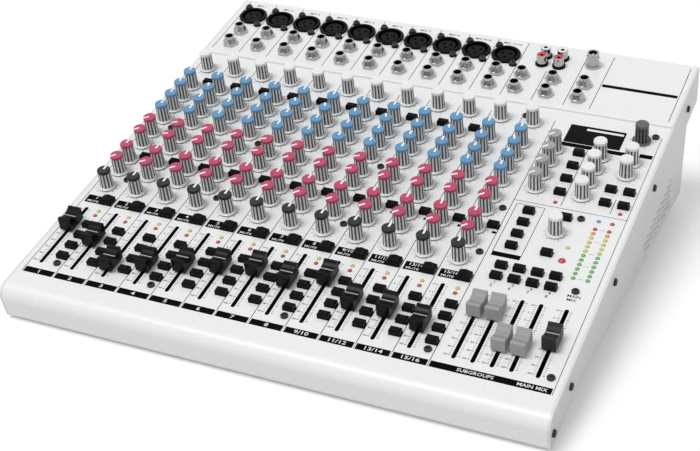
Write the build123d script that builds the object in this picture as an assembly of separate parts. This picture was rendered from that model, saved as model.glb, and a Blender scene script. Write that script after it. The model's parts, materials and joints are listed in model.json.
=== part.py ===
from build123d import *
import math
import os

os.makedirs("parts", exist_ok=True)

# A compact mixing console: a sloping control panel with a rounded front, a raised
# connector panel at the back that overhangs the rear face, and sheet-metal cheeks.
# Working frame: x to the right, y up the slope of the panel, z square to the panel,
# zero at the panel's surface at the front end of the channel strips.

# ---------------------------------------------------------------- driving sizes (mm)
strip_pitch = 25.4          # one inch per channel strip
channels = 12
mic_channels = 10
edge_margin = 4.0           # panel edge to the first strip's line
master_width = 85.2         # last strip's line to the panel's right edge
sheet = 1.2                 # folded steel sheet
cheek_sheet = 1.8           # side plates
seam = 0.1                  # gap at every butt seam of the housing
slope_deg = 12.2            # panel slope when it stands on its feet

panel_depth = 289.0         # strip front to the connector panel's lip
pod_depth = 84.5            # connector panel, front lip to rear face
pod_step = 2.0              # connector panel stands this far above the main panel
pod_drop = 30.5             # main panel surface to the connector panel's lower edge
pod_overhang = 36.0         # connector box reaches this far past the rear face
nose_reach = 23.2           # strip front to the virtual front corner
nose_radius = 9.5
nose_lean = 2.7             # the front face leans back this far at its foot
front_depth = 26.6          # panel surface to the underside of the front
heel = 36.0                 # where the front underside meets the flat base
rear_foot_y = 341.3         # level distance from the strip front to the rear face's foot
edge_fold = 1.5             # small bend radius
foot_height = 13.0
foot_radius = 9.0
foot_inset = 26.0

fader_travel = 60.0
fader_middle = 43.8         # panel position of the middle of every fader's travel
slot_width = 2.4
fader_offset = 8.44         # strip line to fader
cap_size = (9.6, 16.4, 10.0)
cap_lift = 1.6              # panel to the underside of a fader cap
saddle_depth = 2.6
lever_size = (1.2, 4.0)
group_pitch = 12.8
group_first = 13.1          # master line to the first group fader
main_fader_offset = 68.7

knob_radius = 5.4
knob_height = 15.4
skirt_radius = 7.3
skirt_height = 1.3
knob_lift = 0.8             # panel to the underside of a knob
shaft_radius = 3.0
shaft_clearance = 0.05
bushing_radius = 3.5
panel_clearance = 0.3       # between a panel hole and what passes through it

button_size = (8.0, 5.2)
button_height = 4.2
mute_size = (9.4, 8.2)
mute_height = 5.0
button_skirt = 3.0          # how far a button reaches below the panel surface
button_travel = 1.6
plunger = 2.0

board_depth = 11.6          # panel surface to the underside of the control board
board_thickness = 1.6
pot_body = (9.5, 10.0, 6.5)
switch_body = (7.6, 7.6, 5.0)
track_size = (9.0, 82.0, 8.0)
track_wall = 0.8

jack_bore = 3.2
jack_height = 8.0
jack_nut_flats = 11.6
jack_body = (13.0, 15.0, 24.0)
xlr_radius = 11.9
xlr_recess = 9.6
xlr_core = 7.2
xlr_depth = 20.0
rca_radius = 4.15
bnc_radius = 4.8
bnc_height = 12.3
screw_head = 2.7
screw_head_height = 1.8
xlr_ear = 1.2              # thickness of the sockets' screw ears
screw_shank = 1.5
led_radius = 1.5

# ---------------------------------------------------------------- derived sizes
slope = math.radians(slope_deg)
panel_width = edge_margin + channels * strip_pitch + master_width
half = panel_width / 2
first_line = -half + edge_margin
master_line = first_line + channels * strip_pitch
pod_top = pod_step
pod_rear = panel_depth + pod_depth
board_top = -(board_depth - board_thickness)


def level(y, z):
    """Panel frame (y, z) to level frame, with the same origin."""
    return (y * math.cos(slope) - z * math.sin(slope), y * math.sin(slope) + z * math.cos(slope))


def sloped(y, z):
    """Level frame (y, z) to panel frame."""
    return (y * math.cos(slope) + z * math.sin(slope), -y * math.sin(slope) + z * math.cos(slope))


base_z = level(heel, -front_depth)[1]
rear_foot = sloped(rear_foot_y, base_z)
rear_top = (pod_rear - pod_overhang, -pod_drop)
front_foot = (-nose_reach + nose_lean, -front_depth)
floor_z = base_z - foot_height

nose_front_y = level(-nose_reach + nose_radius, -nose_radius)[0] - nose_radius
pod_back_y = level(pod_rear, -pod_drop)[0]
middle_y = (nose_front_y + pod_back_y) / 2

PLACE = Pos(0, -middle_y, -floor_z)
TILT = Rot(slope_deg, 0, 0)


# ---------------------------------------------------------------- helpers
def save(name, solids):
    """Write one node; the solids are in the level frame."""
    placed = [PLACE * s for s in solids]
    shape = placed[0] if len(placed) == 1 else Compound(children=placed)
    export_step(shape, f"parts/{name}.step")


def tilted(solids):
    return [TILT * s for s in solids]


def strip_x(index, offset):
    return first_line + index * strip_pitch + offset


def block(size, x, y, z_low):
    """A box centred on x, y that stands on z_low."""
    return Pos(x, y, z_low + size[2] / 2) * Box(*size)


def rod(radius, x, y, z_low, z_high):
    return Pos(x, y, (z_low + z_high) / 2) * Cylinder(radius, z_high - z_low)


def inset_path(points, distance):
    """Points of a parallel path on the right-hand side of the given one."""
    lines = []
    for (ay, az), (by, bz) in zip(points, points[1:]):
        run = math.hypot(by - ay, bz - az)
        ny, nz = (bz - az) / run, -(by - ay) / run
        lines.append(((ay + ny * distance, az + nz * distance), ((by - ay) / run, (bz - az) / run)))
    result = [lines[0][0]]
    for (p, d), (q, e) in zip(lines, lines[1:]):
        cross = d[0] * e[1] - d[1] * e[0]
        t = ((q[0] - p[0]) * e[1] - (q[1] - p[1]) * e[0]) / cross
        result.append((p[0] + d[0] * t, p[1] + d[1] * t))
    (ay, az), (by, bz) = points[-2], points[-1]
    run = math.hypot(by - ay, bz - az)
    result.append((by + (bz - az) / run * distance, bz - (by - ay) / run * distance))
    return result


def bent_edges(points, radii):
    """A path of straight runs with rounded bends, as edges in the side plane."""
    if len(points) == 2:
        return [SIDE * Line(points[0], points[1])]
    rounded = FilletPolyline(*points, radius=[max(r, 0.05) for r in radii])
    return [SIDE * e for e in rounded.edges()]


SIDE = Plane(origin=(0, 0, 0), x_dir=(0, 1, 0), z_dir=(1, 0, 0)).location


def folded(points, radii, thickness, width):
    """A sheet folded along a path; its outside is on the left of the path."""
    inner = inset_path(points, thickness)
    turn = []
    for a, b, c in zip(points, points[1:], points[2:]):
        turn.append((b[0] - a[0]) * (c[1] - b[1]) - (b[1] - a[1]) * (c[0] - b[0]))
    inner_radii = [r - thickness if t < 0 else r + thickness for r, t in zip(radii, turn)]
    edges = bent_edges(points, radii) + bent_edges(inner, inner_radii)
    edges.append(SIDE * Line(points[0], inner[0]))
    edges.append(SIDE * Line(points[-1], inner[-1]))
    face = make_face(edges)
    return Pos(-width / 2, 0, 0) * extrude(face, amount=width, dir=(1, 0, 0))


def plate_outline(points, radii, x_low, thickness):
    """A flat plate square to x with rounded corners."""
    rounded = FilletPolyline(*points, radius=radii, close=True)
    face = make_face([SIDE * e for e in rounded.edges()])
    return Pos(x_low, 0, 0) * extrude(face, amount=thickness, dir=(1, 0, 0))


# ---------------------------------------------------------------- control positions
trim_rows = [267.3]
eq_rows = [239.8, 223.5, 207.7, 191.7]
aux_rows = [172.8, 157.4, 137.0, 121.8]
pan_rows = [102.6]
knob_offset = 10.0
switch_offset = 20.9
route_rows = [57.0, 45.2, 33.4, 21.6]
low_cut_row = 247.3
pre_row = 142.6
mute_row = 86.2
mute_offset = 19.8
channel_led_offset = 19.2
channel_led_rows = [74.4, 69.2]

send_x = 10.5               # the positions below are from the master section's line
switch_column_x = 28.7
return_x = 44.7
level_x = 68.2
master_knob_rows = [239.6, 223.8, 207.8, 191.7]
encoder_row = 267.6
phones_place = (38.8, 148.0)
option_columns = [62.4, 75.7]
option_rows = [204.4, 188.5]
source_x = 14.3
source_rows = [164.6, 151.6, 138.4, 125.4]
extra_buttons = [(41.1, 165.1), (39.5, 125.2)]
assign_first = 14.3
assign_pitch = 12.7
assign_rows = [103.9, 92.8]
meter_columns = [63.5, 73.4]
meter_low = 106.9
meter_pitch = 4.81
meter_count = 12
lamp_leds = [(63.6, 168.6), (73.3, 168.3), (28.7, 180.4), (75.5, 180.4), (51.4, 135.5)]
mode_led = (51.4, 121.4)
mode_led_radius = 2.5
display_size = (42.5, 22.0)
display_centre = (34.3, 263.0)
display_lift = 0.4

screw_strips = [0, 3, 7, 11]
screw_rows = {0: [13.8, 113.5, 183.2], 3: [13.8, 113.5, 183.2],
              7: [13.8, 113.5, 183.2], 11: [13.8, 113.5, 163.2]}
master_screws = [(76.9, 13.6), (68.8, 94.1), (51.3, 167.3), (77.1, 274.6), (-23.2, 274.6)]
cheek_screws = [(-15.0, -16.5), (21.5, -11.5), (124.4, -12.1), (231.4, -12.3), (336.6, -13.9)]

xlr_row = 348.2
jack_rows = [323.2, 304.0]
extra_jack_offset = 8.6
rca_places = [(-32.2, 355.0), (-18.3, 355.0), (-32.2, 344.0), (-18.3, 344.0)]
lamp_place = (7.3, 352.0)

fader_x = [strip_x(i, fader_offset) for i in range(channels)]
group_x = [master_line + group_first + i * group_pitch for i in range(4)]
main_x = master_line + main_fader_offset
fader_names = [f"channel_{i + 1}_fader" for i in range(channels)]
fader_names += [f"group_{i + 1}_fader" for i in range(4)] + ["main_fader"]
all_fader_x = fader_x + group_x + [main_x]
# how far up its travel each fader is set
fader_settings = [40.9, 30.2, 10.8, 17.8, 25.0, 31.6, 36.8, 32.6, 42.9, 25.6, 26.1, 20.2]
fader_settings += [44.7, 45.0, 19.0, 19.0, 29.4]


def fader_y(setting):
    return fader_middle - fader_travel / 2 + setting


channel_knobs = {
    "trim_knobs": trim_rows,
    "eq_knobs": eq_rows,
    "aux_knobs": aux_rows,
    "pan_knobs": pan_rows,
}
channel_places = [
    (strip_x(i, knob_offset), row)
    for rows in channel_knobs.values() for row in rows for i in range(channels)
]
master_knobs = {f"aux_master_{i + 1}_knob": (master_line + send_x, master_knob_rows[i]) for i in range(4)}
for i in range(4):
    master_knobs[f"return_{i + 1}_knob"] = (master_line + return_x, master_knob_rows[i])
for i in range(2):
    master_knobs[f"effect_level_{i + 1}_knob"] = (master_line + level_x, master_knob_rows[i])
master_knobs["effect_select_knob"] = (master_line + level_x, encoder_row)
master_knobs["monitor_level_knob"] = (master_line + phones_place[0], phones_place[1])

banks = {
    "route_buttons": [(strip_x(i, switch_offset), row) for row in route_rows for i in range(channels)],
    "low_cut_buttons": [(strip_x(i, switch_offset), low_cut_row) for i in range(mic_channels)],
    "pre_buttons": [(strip_x(i, switch_offset), pre_row) for i in range(channels)],
}
master_buttons = [(master_line + switch_column_x, row - 0.3) for row in master_knob_rows]
master_buttons += [(master_line + x, row) for row in option_rows for x in option_columns]
master_buttons += [(master_line + source_x, row) for row in source_rows]
master_buttons += [(master_line + x, row) for x, row in extra_buttons]
master_buttons += [
    (master_line + assign_first + i * assign_pitch, row) for row in assign_rows for i in range(4)
]
banks["master_buttons"] = master_buttons
mute_places = [(strip_x(i, mute_offset), mute_row) for i in range(channels)]

led_places = [(strip_x(i, channel_led_offset), row) for i in range(channels) for row in channel_led_rows]
led_places += [
    (master_line + x, meter_low + i * meter_pitch) for x in meter_columns for i in range(meter_count)
]
led_places += [(master_line + x, y) for x, y in lamp_leds]
mode_place = (master_line + mode_led[0], mode_led[1])

panel_screws = [(strip_x(k, switch_offset), row) for k in screw_strips for row in screw_rows[k]]
panel_screws += [(master_line + x, y) for x, y in master_screws]

jack_places = [(strip_x(i, strip_pitch / 2), row) for row in jack_rows for i in range(mic_channels)]
jack_places += [
    (strip_x(i, extra_jack_offset), row)
    for row in jack_rows for i in range(mic_channels, channels + 1)
]
xlr_places = [(strip_x(i, strip_pitch / 2), xlr_row) for i in range(mic_channels)]

# ---------------------------------------------------------------- rear face frame
rear_a = level(*rear_foot)
rear_b = level(*rear_top)
rear_height = math.dist(rear_a, rear_b)
rear_out = (0, (rear_b[1] - rear_a[1]) / rear_height, -(rear_b[0] - rear_a[0]) / rear_height)
REAR = Plane(origin=(0, rear_a[0], rear_a[1]), x_dir=(-1, 0, 0), z_dir=rear_out).location
rear_xlr = [(-150.0, 32.0), (-116.0, 32.0)]
rear_jack_first = -82.0
rear_jack_pitch = 20.0
rear_jack_row = 34.0
rear_jack_count = 8
rear_jacks = [(rear_jack_first + i * rear_jack_pitch, rear_jack_row) for i in range(rear_jack_count)]
inlet_place = (160.0, 30.0)
inlet_size = (30.0, 28.0)
inlet_flange = 3.0
rocker_places = {"power_switch": (128.0, 30.0), "phantom_switch": (94.0, 30.0)}
rocker_size = (12.0, 19.0)
rocker_swing = 8.0


# ---------------------------------------------------------------- housing
def cut_holes(part, round_holes, slots, windows, depth):
    """Cut round holes (x, y, r), slots (x, y, length, width) and windows (x, y, w, h)."""
    tools = []
    for x, y, r in round_holes:
        tools.append(Pos(x, y, 0) * Cylinder(r, depth))
    for x, y, length, width in slots:
        tools.append(Pos(x, y, 0) * extrude(SlotOverall(length, width, rotation=90), amount=depth / 2, both=True))
    for x, y, w, h in windows:
        tools.append(Pos(x, y, 0) * Box(w, h, depth))
    return part - tools


def panel_shell():
    path = [front_foot_tail, front_foot, (-nose_reach, 0), (panel_depth + 2.5, 0)]
    shell = folded(path, [edge_fold + sheet, nose_radius], sheet, panel_width)
    holes = [(x, y, bushing_radius + panel_clearance) for x, y in channel_places + list(master_knobs.values())]
    holes += [(x, y, led_radius + 0.15) for x, y in led_places]
    holes.append((*mode_place, mode_led_radius + 0.15))
    holes += [(x, y, screw_shank + 0.1) for x, y in panel_screws]
    slot_length = fader_travel + lever_size[1] + 2 * panel_clearance
    slots = [(x, fader_middle, slot_length, slot_width) for x in all_fader_x]
    grown = 2 * panel_clearance
    windows = [
        (x, y, button_size[0] + grown, button_size[1] + grown) for places in banks.values() for x, y in places
    ]
    windows += [(x, y, mute_size[0] + grown, mute_size[1] + grown) for x, y in mute_places]
    windows.append((master_line + display_centre[0], display_centre[1],
                    display_size[0] + 2 * seam, display_size[1] + 2 * seam))
    return cut_holes(shell, holes, slots, windows, 6.0)


flange = 9.0
front_foot_tail = (front_foot[0] + flange, -front_depth)

top_panel = panel_shell()
save("top_panel", tilted([top_panel]))


def connector_shell():
    path = [(panel_depth, 0), (panel_depth, pod_top), (pod_rear, pod_top), (pod_rear, -pod_drop)]
    shell = folded(path, [edge_fold, edge_fold], sheet, panel_width)
    holes = [(x, y, jack_bore + 1.5) for x, y in jack_places]
    holes += [(x, y, xlr_recess + 1.2) for x, y in xlr_places]
    holes += [(master_line + x, y, rca_radius + 0.6) for x, y in rca_places]
    holes.append((master_line + lamp_place[0], lamp_place[1], bnc_radius + 0.6))
    for x, y in xlr_places:
        holes += [(x + dx, y + dy, screw_shank + 0.1) for dx, dy in xlr_ears]
    return cut_holes(shell, holes, [], [], 3 * pod_top)


xlr_ears = [(-9.4, 11.6), (9.4, -11.6)]
connector_panel = connector_shell()
save("connector_panel", tilted([connector_panel]))


def rear_shell():
    foot_in = sloped(rear_foot_y, base_z + sheet + seam)
    lean = (rear_top[0] - rear_foot[0]) / (rear_top[1] - rear_foot[1])
    foot_y = rear_foot[0] + (foot_in[1] - rear_foot[1]) * lean
    tail = sloped(level(foot_y, foot_in[1])[0] - flange, base_z + sheet + seam)
    path = [
        (pod_rear - sheet - seam, rear_top[1]),
        rear_top,
        (foot_y, foot_in[1]),
        tail,
    ]
    shell = TILT * folded(path, [edge_fold, edge_fold], sheet, panel_width - 2 * (sheet + 2 * seam))
    tools = []
    for x, y in rear_jacks:
        tools.append(REAR * Pos(x, y, 0) * Cylinder(jack_bore + 1.5, 8))
    for x, y in rear_xlr:
        tools.append(REAR * Pos(x, y, 0) * Cylinder(xlr_recess + 1.2, 8))
        tools += [REAR * Pos(x + dx, y + dy, 0) * Cylinder(screw_shank + 0.1, 8) for dx, dy in xlr_ears]
    tools.append(REAR * Pos(*inlet_place, 0) * Box(inlet_size[0] - 4, inlet_size[1] - 4, 8))
    for x, y in rocker_places.values():
        tools.append(REAR * Pos(x, y, 0) * Box(rocker_size[0] + 1.6, rocker_size[1] + 1.6, 8))
    return shell - tools


rear_panel = rear_shell()
save("rear_panel", [rear_panel])


def base_tray():
    """Bottom sheet with upturned side walls that the cheeks are screwed to."""
    start = front_foot_tail[0] + seam
    path = [rear_foot, (heel, -front_depth), (start, -front_depth)]
    bottom = folded(path, [edge_fold], sheet, panel_width)
    roof = -sheet - seam
    wall_front = front_foot[0] + 4.0
    back = rear_top[0] - sheet - 2.0
    wall = [
        (start, -front_depth + sheet / 2),
        (start, -nose_radius - 2),
        (wall_front + nose_radius, roof),
        (back, roof),
        (back - 4.0, rear_foot[1] + 6.0),
        (rear_foot[0] - 6.0, sloped(rear_foot_y - 6.0, base_z + sheet / 2)[1]),
        (heel, -front_depth + sheet / 2),
    ]
    right = plate_outline(wall, [0.0] * len(wall), half - sheet, sheet)
    window = plate_outline(vent_window, [0.0] * 4, half - 2 * sheet, 3 * sheet)
    bores = [Pos(half, y, z) * Rot(0, 90, 0) * Cylinder(screw_shank + 0.1, 8) for y, z in cheek_screws[1:4]]
    right = right - ([window] + bores)
    left = mirror(right, about=Plane.YZ)
    return bottom + right + left


vent_front = 207.0
vent_rear = 294.0
vent_top = -46.0
vent_margin = 5.0


def base_line(y):
    """Height of the base's underside in the panel frame at a panel position."""
    return (base_z - y * math.sin(slope)) / math.cos(slope)


vent_window = [
    (vent_front + 4, vent_top),
    (vent_rear, vent_top),
    (vent_rear, base_line(vent_rear) + vent_margin),
    (vent_front + 4, base_line(vent_front) + vent_margin),
]
bottom_pan = base_tray()
foot_places = []
for side in (-1, 1):
    for y in (heel + 22.0, rear_foot_y - 22.0):
        foot_places.append((side * (half - foot_inset), y))
foot_tools = [rod(screw_shank + 0.1, x, y, base_z - 2, base_z + 4) for x, y in foot_places]
bottom_pan = (TILT * bottom_pan) - foot_tools
save("bottom_pan", [bottom_pan])


# ---------------------------------------------------------------- cheeks
def cheek_plate():
    step = 1.6
    outline = [
        (-nose_reach, 0),
        (panel_depth, 0),
        (panel_depth + step, pod_top),
        (pod_rear, pod_top),
        (pod_rear, -pod_drop),
        rear_top,
        rear_foot,
        (heel, -front_depth),
        front_foot,
    ]
    radii = [nose_radius, 0.6, 0.6, 2.5, edge_fold, edge_fold, edge_fold, edge_fold, edge_fold]
    plate = plate_outline(outline, radii, half, cheek_sheet)
    tools = []
    for y, z in cheek_screws:
        tools.append(Pos(half, y, z) * Rot(0, 90, 0) * Cylinder(screw_shank + 0.1, 8))
    columns = int((vent_rear - vent_front) / vent_hole_pitch)
    for i in range(columns):
        y = vent_front + (i + 0.5) * vent_hole_pitch
        low = base_line(y) + vent_margin
        rows = int((vent_top - low) / vent_hole_pitch)
        for j in range(rows):
            z = vent_top - (j + 0.5 + 0.5 * (i % 2)) * vent_hole_pitch
            tools.append(Pos(half, y, z) * Rot(0, 90, 0) * Cylinder(vent_hole_radius, 8))
    return plate - tools


vent_hole_pitch = 5.0
vent_hole_radius = 1.5
right_cheek = cheek_plate()
left_cheek = mirror(right_cheek, about=Plane.YZ)
save("right_cheek", tilted([right_cheek]))
save("left_cheek", tilted([left_cheek]))


# ---------------------------------------------------------------- feet and screws
def rubber_foot(x, y):
    body = Pos(x, y, base_z - foot_height / 2) * Cone(foot_radius - 1.0, foot_radius, foot_height)
    recess = rod(4.0, x, y, base_z - foot_height, base_z - foot_height + 6.0)
    bore = rod(screw_shank + 0.1, x, y, base_z - foot_height, base_z)
    return body - [recess, bore]


save("feet", [rubber_foot(x, y) for x, y in foot_places])


def screw(length):
    """Pan-head screw pointing down, with the underside of its head at zero."""
    head = Pos(0, 0, screw_head_height / 2) * Cylinder(screw_head, screw_head_height)
    head = chamfer(head.edges().group_by(Axis.Z)[-1], 0.5)
    cross = Pos(0, 0, 1.5) * Box(3.2, 0.8, 1.0) + Pos(0, 0, 1.5) * Box(0.8, 3.2, 1.0)
    shank = Pos(0, 0, -length / 2) * Cylinder(screw_shank, length)
    return head - cross + shank


def spacer(length):
    return Pos(0, 0, -length / 2) * (Cylinder(2.8, length) - Cylinder(screw_shank + 0.1, length))


spacer_length = -board_top - sheet
panel_screw = screw(board_depth + 1.0)
short_screw = screw(6.0)
foot_screw = screw(9.0)
panel_spacer = spacer(spacer_length)
screws = []
for x, y in panel_screws:
    screws.append(TILT * Pos(x, y, 0) * panel_screw)
    screws.append(TILT * Pos(x, y, -sheet) * panel_spacer)
for side in (-1, 1):
    for y, z in cheek_screws:
        screws.append(TILT * Pos(side * (half + cheek_sheet), y, z) * Rot(0, side * 90, 0) * short_screw)
for x, y in xlr_places:
    for dx, dy in xlr_ears:
        screws.append(TILT * Pos(x + dx, y + dy, pod_top + xlr_ear) * short_screw)
for x, y in rear_xlr:
    for dx, dy in xlr_ears:
        screws.append(REAR * Pos(x + dx, y + dy, xlr_ear) * short_screw)
for x, y in foot_places:
    screws.append(Pos(x, y, base_z - foot_height + 6.0) * Rot(180, 0, 0) * foot_screw)
save("case_screws", screws)

# ---------------------------------------------------------------- boards and parts on them
board_width = panel_width - 16.0
board_y = (4.0, panel_depth - 6.0)


def board(width, y_low, y_high, z_top, holes):
    plate = Pos(0, (y_low + y_high) / 2, z_top - board_thickness / 2) * Box(width, y_high - y_low, board_thickness)
    tools = [Pos(x, y, z_top) * Cylinder(screw_shank + 0.2, 4 * board_thickness) for x, y in holes]
    return plate - tools


control_board = board(board_width, *board_y, board_top, panel_screws)
jack_board_top = pod_top - sheet - seam - jack_body[2]
connector_board = board(board_width, jack_rows[1] - 9.0, jack_rows[0] + 9.0, jack_board_top - seam, [])
save("circuit_boards", tilted([control_board, connector_board]))

bushing_top = -0.2


def pot(place, with_shaft):
    """Board-mounted control with its bushing and, on the channel strips, its shaft."""
    x, y = place
    body = block(pot_body, x, y, board_top)
    body += rod(bushing_radius, x, y, board_top + pot_body[2], bushing_top)
    if with_shaft:
        body += rod(shaft_radius, x, y, bushing_top, knob_lift + knob_height - 3.0)
    else:
        body -= rod(shaft_radius + shaft_clearance, x, y, board_top + 1.0, 0)
    return body


def switch(place):
    """Board-mounted push switch with a well for the button's plunger."""
    x, y = place
    well = block((plunger + 0.6, plunger + 0.6, switch_body[2]), x, y, board_top + 1.0)
    return block(switch_body, x, y, board_top) - well


channel_pot = pot((0, 0), True)
master_pot = pot((0, 0), False)
push_switch = switch((0, 0))
all_buttons = [p for places in banks.values() for p in places] + mute_places
bodies = [Pos(x, y, 0) * channel_pot for x, y in channel_places]
bodies += [Pos(x, y, 0) * master_pot for x, y in master_knobs.values()]
bodies += [Pos(x, y, 0) * push_switch for x, y in all_buttons]
save("pot_and_switch_bodies", tilted(bodies))


def fader_track():
    """Folded metal housing of a slide control, with a slot for its lever."""
    outside = block(track_size, 0, 0, board_top)
    inner = (track_size[0] - 2 * track_wall, track_size[1] - 2 * track_wall, track_size[2] - 2 * track_wall)
    cavity = block(inner, 0, 0, board_top + track_wall)
    opening = block((slot_width, fader_travel + lever_size[1] + 2 * panel_clearance, 4), 0, 0, board_top + 6)
    return outside - cavity - opening


track = fader_track()
save("fader_tracks", tilted([Pos(x, fader_middle, 0) * track for x in all_fader_x]))


# ---------------------------------------------------------------- faders
def fader_cap():
    """Cap with a saddle for the fingertip, hollow for its lever."""
    width, length, height = cap_size
    low, high = cap_lift, cap_lift + height
    side = [(-length / 2, low), (-length / 2, high), (-length / 2 + 2.2, high)]
    edges = [
        Line((-length / 2, low), (-length / 2, high - 0.6)),
        Line((-length / 2, high - 0.6), (-length / 2 + 0.6, high)),
        Line((-length / 2 + 0.6, high), side[2]),
        ThreePointArc(side[2], (0, high - saddle_depth), (length / 2 - 2.2, high)),
        Line((length / 2 - 2.2, high), (length / 2 - 0.6, high)),
        Line((length / 2 - 0.6, high), (length / 2, high - 0.6)),
        Line((length / 2, high - 0.6), (length / 2, low)),
        Line((length / 2, low), (-length / 2, low)),
    ]
    face = make_face([SIDE * e for e in edges])
    body = Pos(-width / 2, 0, 0) * extrude(face, amount=width, dir=(1, 0, 0))
    socket = block((lever_size[0] + seam, lever_size[1] + seam, lever_top - low), 0, 0, low)
    return body - socket


lever_top = cap_lift + cap_size[2] - saddle_depth - 2.0
carriage = (track_size[0] - 2 * track_wall - 0.6, 9.0, 2.6)


def fader_lever():
    """Steel lever standing on the carriage that slides in the track."""
    foot = block(carriage, 0, 0, board_top + track_wall + 0.3)
    stem_low = board_top + track_wall + 0.3 + carriage[2] / 2
    return foot + block((*lever_size, lever_top - stem_low), 0, 0, stem_low)


cap = fader_cap()
lever = fader_lever()
for name, x, setting in zip(fader_names, all_fader_x, fader_settings):
    spot = Pos(x, fader_y(setting), 0)
    save(name, tilted([spot * cap, spot * lever]))


# ---------------------------------------------------------------- knobs
def knob(radius, height, bore):
    """Round knob with a skirt, seated over the end of its shaft."""
    low = knob_lift
    body = rod(radius, 0, 0, low, low + height)
    body = chamfer(body.edges().group_by(Axis.Z)[-1], 0.5)
    body += rod(skirt_radius, 0, 0, low, low + skirt_height)
    return body - rod(bore, 0, 0, low, low + height - 3.0)


strip_knob = knob(knob_radius, knob_height, shaft_radius + shaft_clearance)
for name, rows in channel_knobs.items():
    places = [(strip_x(i, knob_offset), row) for row in rows for i in range(channels)]
    save(name, tilted([Pos(x, y, 0) * strip_knob for x, y in places]))

shaft_low = board_top + 1.0 + seam
shaft = rod(shaft_radius, 0, 0, shaft_low, knob_lift + knob_height - 3.0)
for name, (x, y) in master_knobs.items():
    save(name, tilted([Pos(x, y, 0) * strip_knob, Pos(x, y, 0) * shaft]))


# ---------------------------------------------------------------- buttons
def button(size, height, edge):
    """Push button with a chamfered top and a plunger that enters its switch."""
    body = block((*size, height + button_skirt), 0, 0, -button_skirt)
    body = chamfer(body.edges().group_by(Axis.Z)[-1], edge)
    stem_low = board_top + 1.0 + button_travel + 0.6
    stem = block((plunger, plunger, -button_skirt - stem_low + 0.5), 0, 0, stem_low)
    return body + stem


small_button = button(button_size, button_height, 0.8)
mute_button = button(mute_size, mute_height, 1.2)
for name, places in banks.items():
    save(name, tilted([Pos(x, y, 0) * small_button for x, y in places]))
save("mute_buttons", tilted([Pos(x, y, 0) * mute_button for x, y in mute_places]))


# ---------------------------------------------------------------- lights and display
def led(radius):
    lens = rod(radius, 0, 0, -4.0, 0.3)
    dome = Pos(0, 0, 0.3) * Sphere(radius) & block((4 * radius, 4 * radius, radius), 0, 0, 0.3)
    return lens + dome


small_led = led(led_radius)
leds = [Pos(x, y, 0) * small_led for x, y in led_places]
leds.append(Pos(*mode_place, 0) * led(mode_led_radius))
save("status_leds", tilted(leds))

window = block((*display_size, sheet + display_lift), master_line + display_centre[0], display_centre[1], -sheet)
window = fillet(window.edges().filter_by(Axis.Z), 1.2)
save("display_window", tilted([window]))


# ---------------------------------------------------------------- sockets
def jack_collar():
    """Nickel nut and threaded collar standing on the panel at zero."""
    low, high = seam, jack_height
    nut = Pos(0, 0, low + 1.3) * extrude(RegularPolygon(jack_nut_flats / 2, 6, major_radius=False),
                                         amount=1.3, both=True)
    flare = Pos(0, 0, low + 2.6 + 1.7) * Cone(jack_nut_flats / 2 - 0.5, jack_bore + 1.0, 3.4)
    neck = rod(jack_bore + 0.8, 0, 0, low + 6.0 - 0.1, high)
    return nut + flare + neck - rod(jack_bore, 0, 0, 0, high + 1)


def jack_socket():
    """Plastic body under the panel, with a sleeve through the panel."""
    body = block(jack_body, 0, 0, -sheet - seam - jack_body[2])
    body += rod(jack_bore + 1.3, 0, 0, -sheet - 2 * seam, 0)
    return body - rod(jack_bore + 0.1, 0, 0, -jack_body[2] + 1.0, 1)


collar = jack_collar()
socket = jack_socket()
panel_jacks = [TILT * Pos(x, y, pod_top) for x, y in jack_places]
rear_jack_spots = [REAR * Pos(x, y, 0) for x, y in rear_jacks]
save("jack_collars", [spot * collar for spot in panel_jacks + rear_jack_spots])
save("jack_sockets", [spot * socket for spot in panel_jacks + rear_jack_spots])


def xlr_socket():
    """Black socket: flange, cup and a core with three contact holes."""
    flange_ring = rod(xlr_radius, 0, 0, 0, 2.2)
    flange_ring = chamfer(flange_ring.edges().group_by(Axis.Z)[-1], 0.6)
    cup = rod(xlr_recess + 1.0, 0, 0, -xlr_depth, 0.1)
    shell = flange_ring + cup
    for dx, dy in xlr_ears:
        arm = math.hypot(dx, dy)
        ear = rod(3.1, dx, dy, 0, xlr_ear)
        shell += ear + Pos(dx * 0.86, dy * 0.86, xlr_ear / 2) * Rot(0, 0, math.degrees(math.atan2(dy, dx))) * Box(
            0.25 * arm, 5.0, xlr_ear)
        shell -= rod(screw_shank + 0.1, dx, dy, -1, 3)
    shell -= rod(xlr_recess, 0, 0, -12.0, 3)
    core = rod(xlr_core, 0, 0, -12.5, 1.0)
    for i in range(3):
        angle = math.radians(30 + 120 * i)
        core -= rod(1.25, 3.6 * math.cos(angle), 3.6 * math.sin(angle), -8, 2)
    return shell + core


xlr = xlr_socket()
xlr_spots = [TILT * Pos(x, y, pod_top) for x, y in xlr_places]
xlr_spots += [REAR * Pos(x, y, 0) for x, y in rear_xlr]
save("xlr_sockets", [spot * xlr for spot in xlr_spots])


def rca_socket():
    rim = rod(rca_radius + 1.2, 0, 0, 0, 1.6)
    barrel = rod(rca_radius, 0, 0, -10.0, 9.0)
    return rim + barrel - rod(1.7, 0, 0, -6, 10)


rca = rca_socket()
save("rca_sockets", tilted([Pos(master_line + x, y, pod_top) * rca for x, y in rca_places]))


def lamp_connector():
    """Bayonet socket for a gooseneck lamp."""
    base = rod(bnc_radius + 1.6, 0, 0, 0, 2.0)
    barrel = rod(bnc_radius, 0, 0, -10.0, bnc_height)
    lug = Pos(0, 0, bnc_height - 3.2) * Rot(0, 90, 0) * Cylinder(0.9, 2 * bnc_radius + 2.2)
    return base + barrel + lug - rod(3.4, 0, 0, bnc_height - 9.0, bnc_height + 1) + rod(
        1.1, 0, 0, bnc_height - 9.5, bnc_height - 1.5)


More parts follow.
